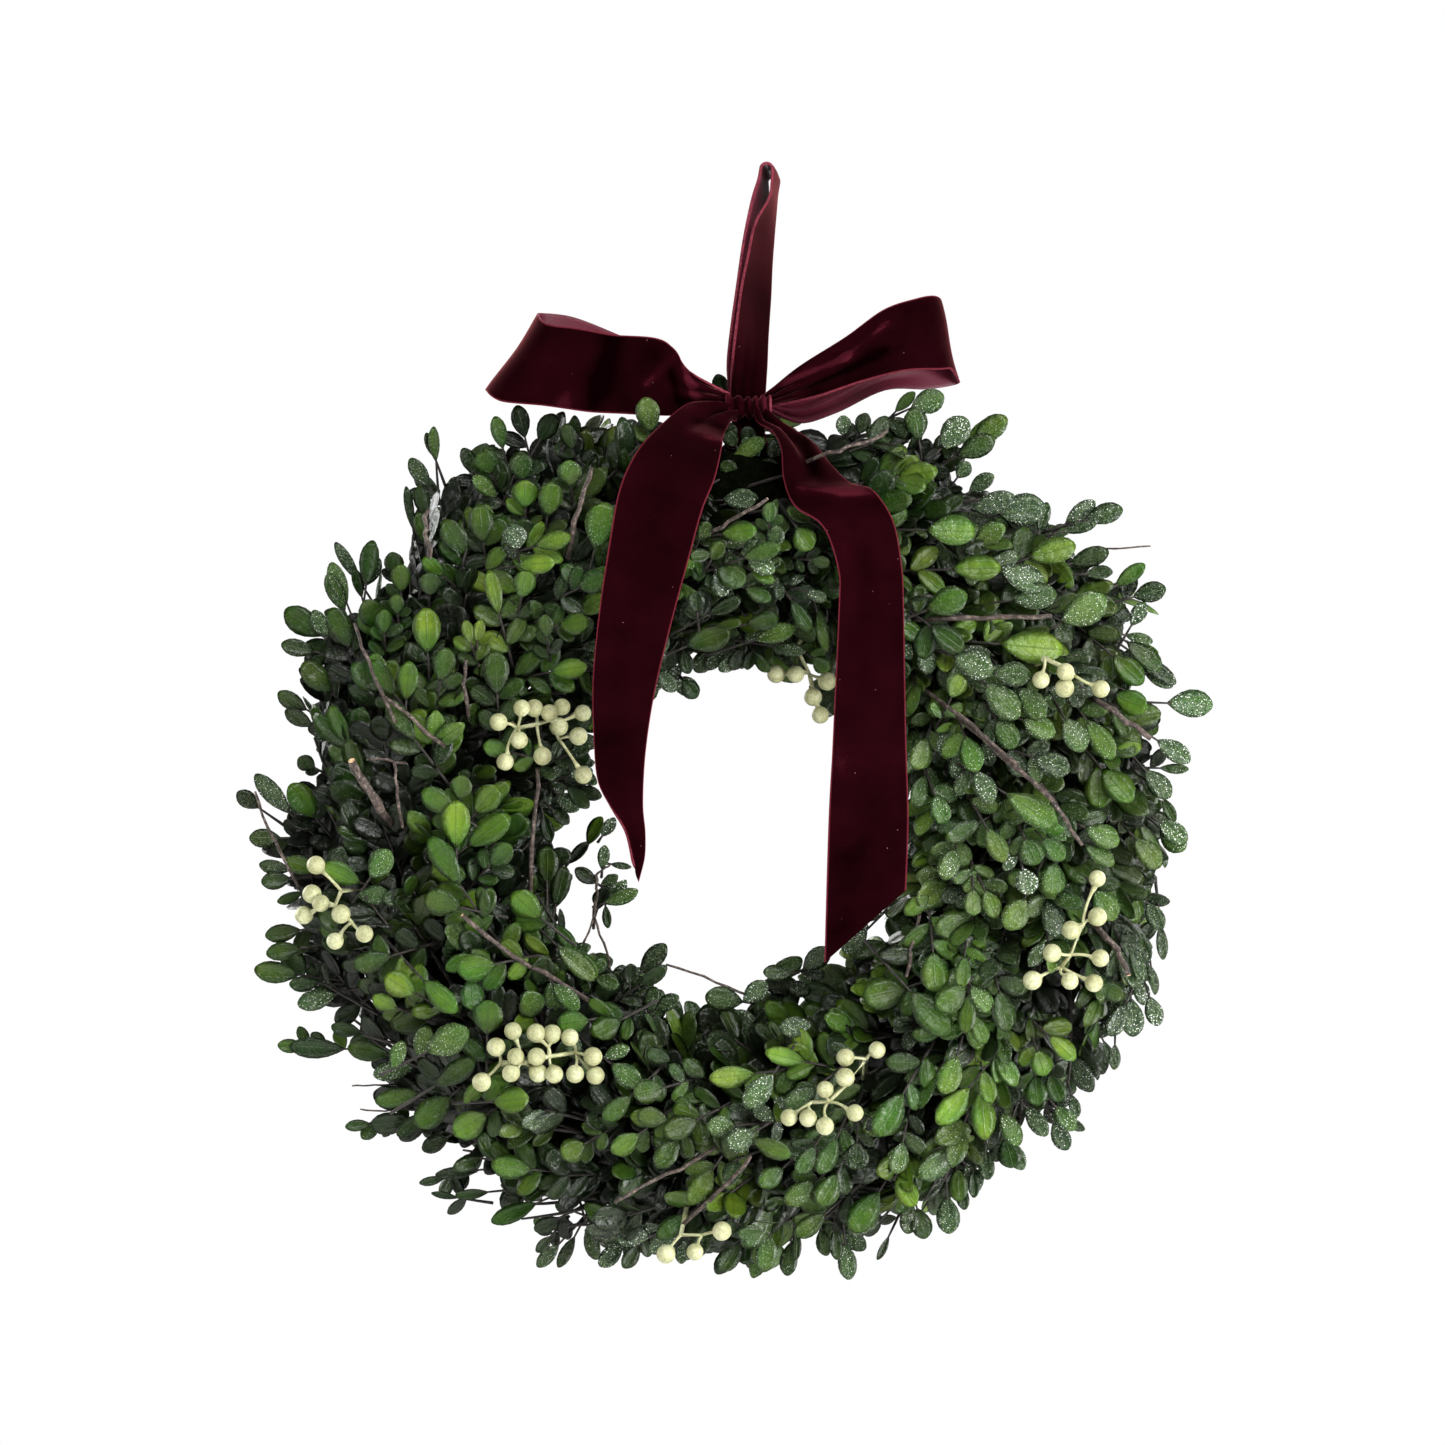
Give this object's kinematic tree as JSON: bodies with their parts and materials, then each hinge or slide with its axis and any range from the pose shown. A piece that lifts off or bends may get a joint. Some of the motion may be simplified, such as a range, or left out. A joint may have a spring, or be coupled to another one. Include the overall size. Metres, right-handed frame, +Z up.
{
  "type": "mistletoe wreath",
  "caption": "Round evergreen wreath of small-leaved twigs on a vine ring, with cream mistletoe berry sprays and a burgundy velvet bow whose ribbon loop hangs it on a door.",
  "frame": {"origin": "top of the clear space inside the hanging ribbon loop, where the hook or door hanger carries the wreath", "axes": "+Z up as it hangs, -Y the decorated front, +X to the right seen from the front, +Y towards the door"},
  "size_m": [0.4827, 0.1347, 0.56],
  "materials": {
    "foliage": "satin",
    "vine": "matte",
    "wire": "satin",
    "berry": "satin",
    "ribbon": "matte"
  },
  "bodies": {
    "root": {"vine_ring": "vine", "binding_wire": "wire", "bow_knot": "ribbon", "bow_loop_left": "ribbon", "bow_loop_right": "ribbon", "bow_tail_left": "ribbon", "bow_tail_right": "ribbon", "hanging_ribbon": "ribbon", "berry_spray_upper_left": "berry", "berry_spray_hole_top": "berry", "berry_spray_upper_right": "berry", "berry_spray_left": "berry", "berry_spray_right": "berry", "berry_spray_lower_left": "berry", "berry_spray_lower_right": "berry", "berry_spray_bottom": "berry", "foliage_bunch_01": "foliage", "foliage_bunch_02": "foliage", "foliage_bunch_03": "foliage", "foliage_bunch_04": "foliage", "foliage_bunch_05": "foliage", "foliage_bunch_06": "foliage", "foliage_bunch_07": "foliage", "foliage_bunch_08": "foliage", "foliage_bunch_09": "foliage", "foliage_bunch_10": "foliage", "foliage_bunch_11": "foliage", "foliage_bunch_12": "foliage"}
  },
  "joints": []
}
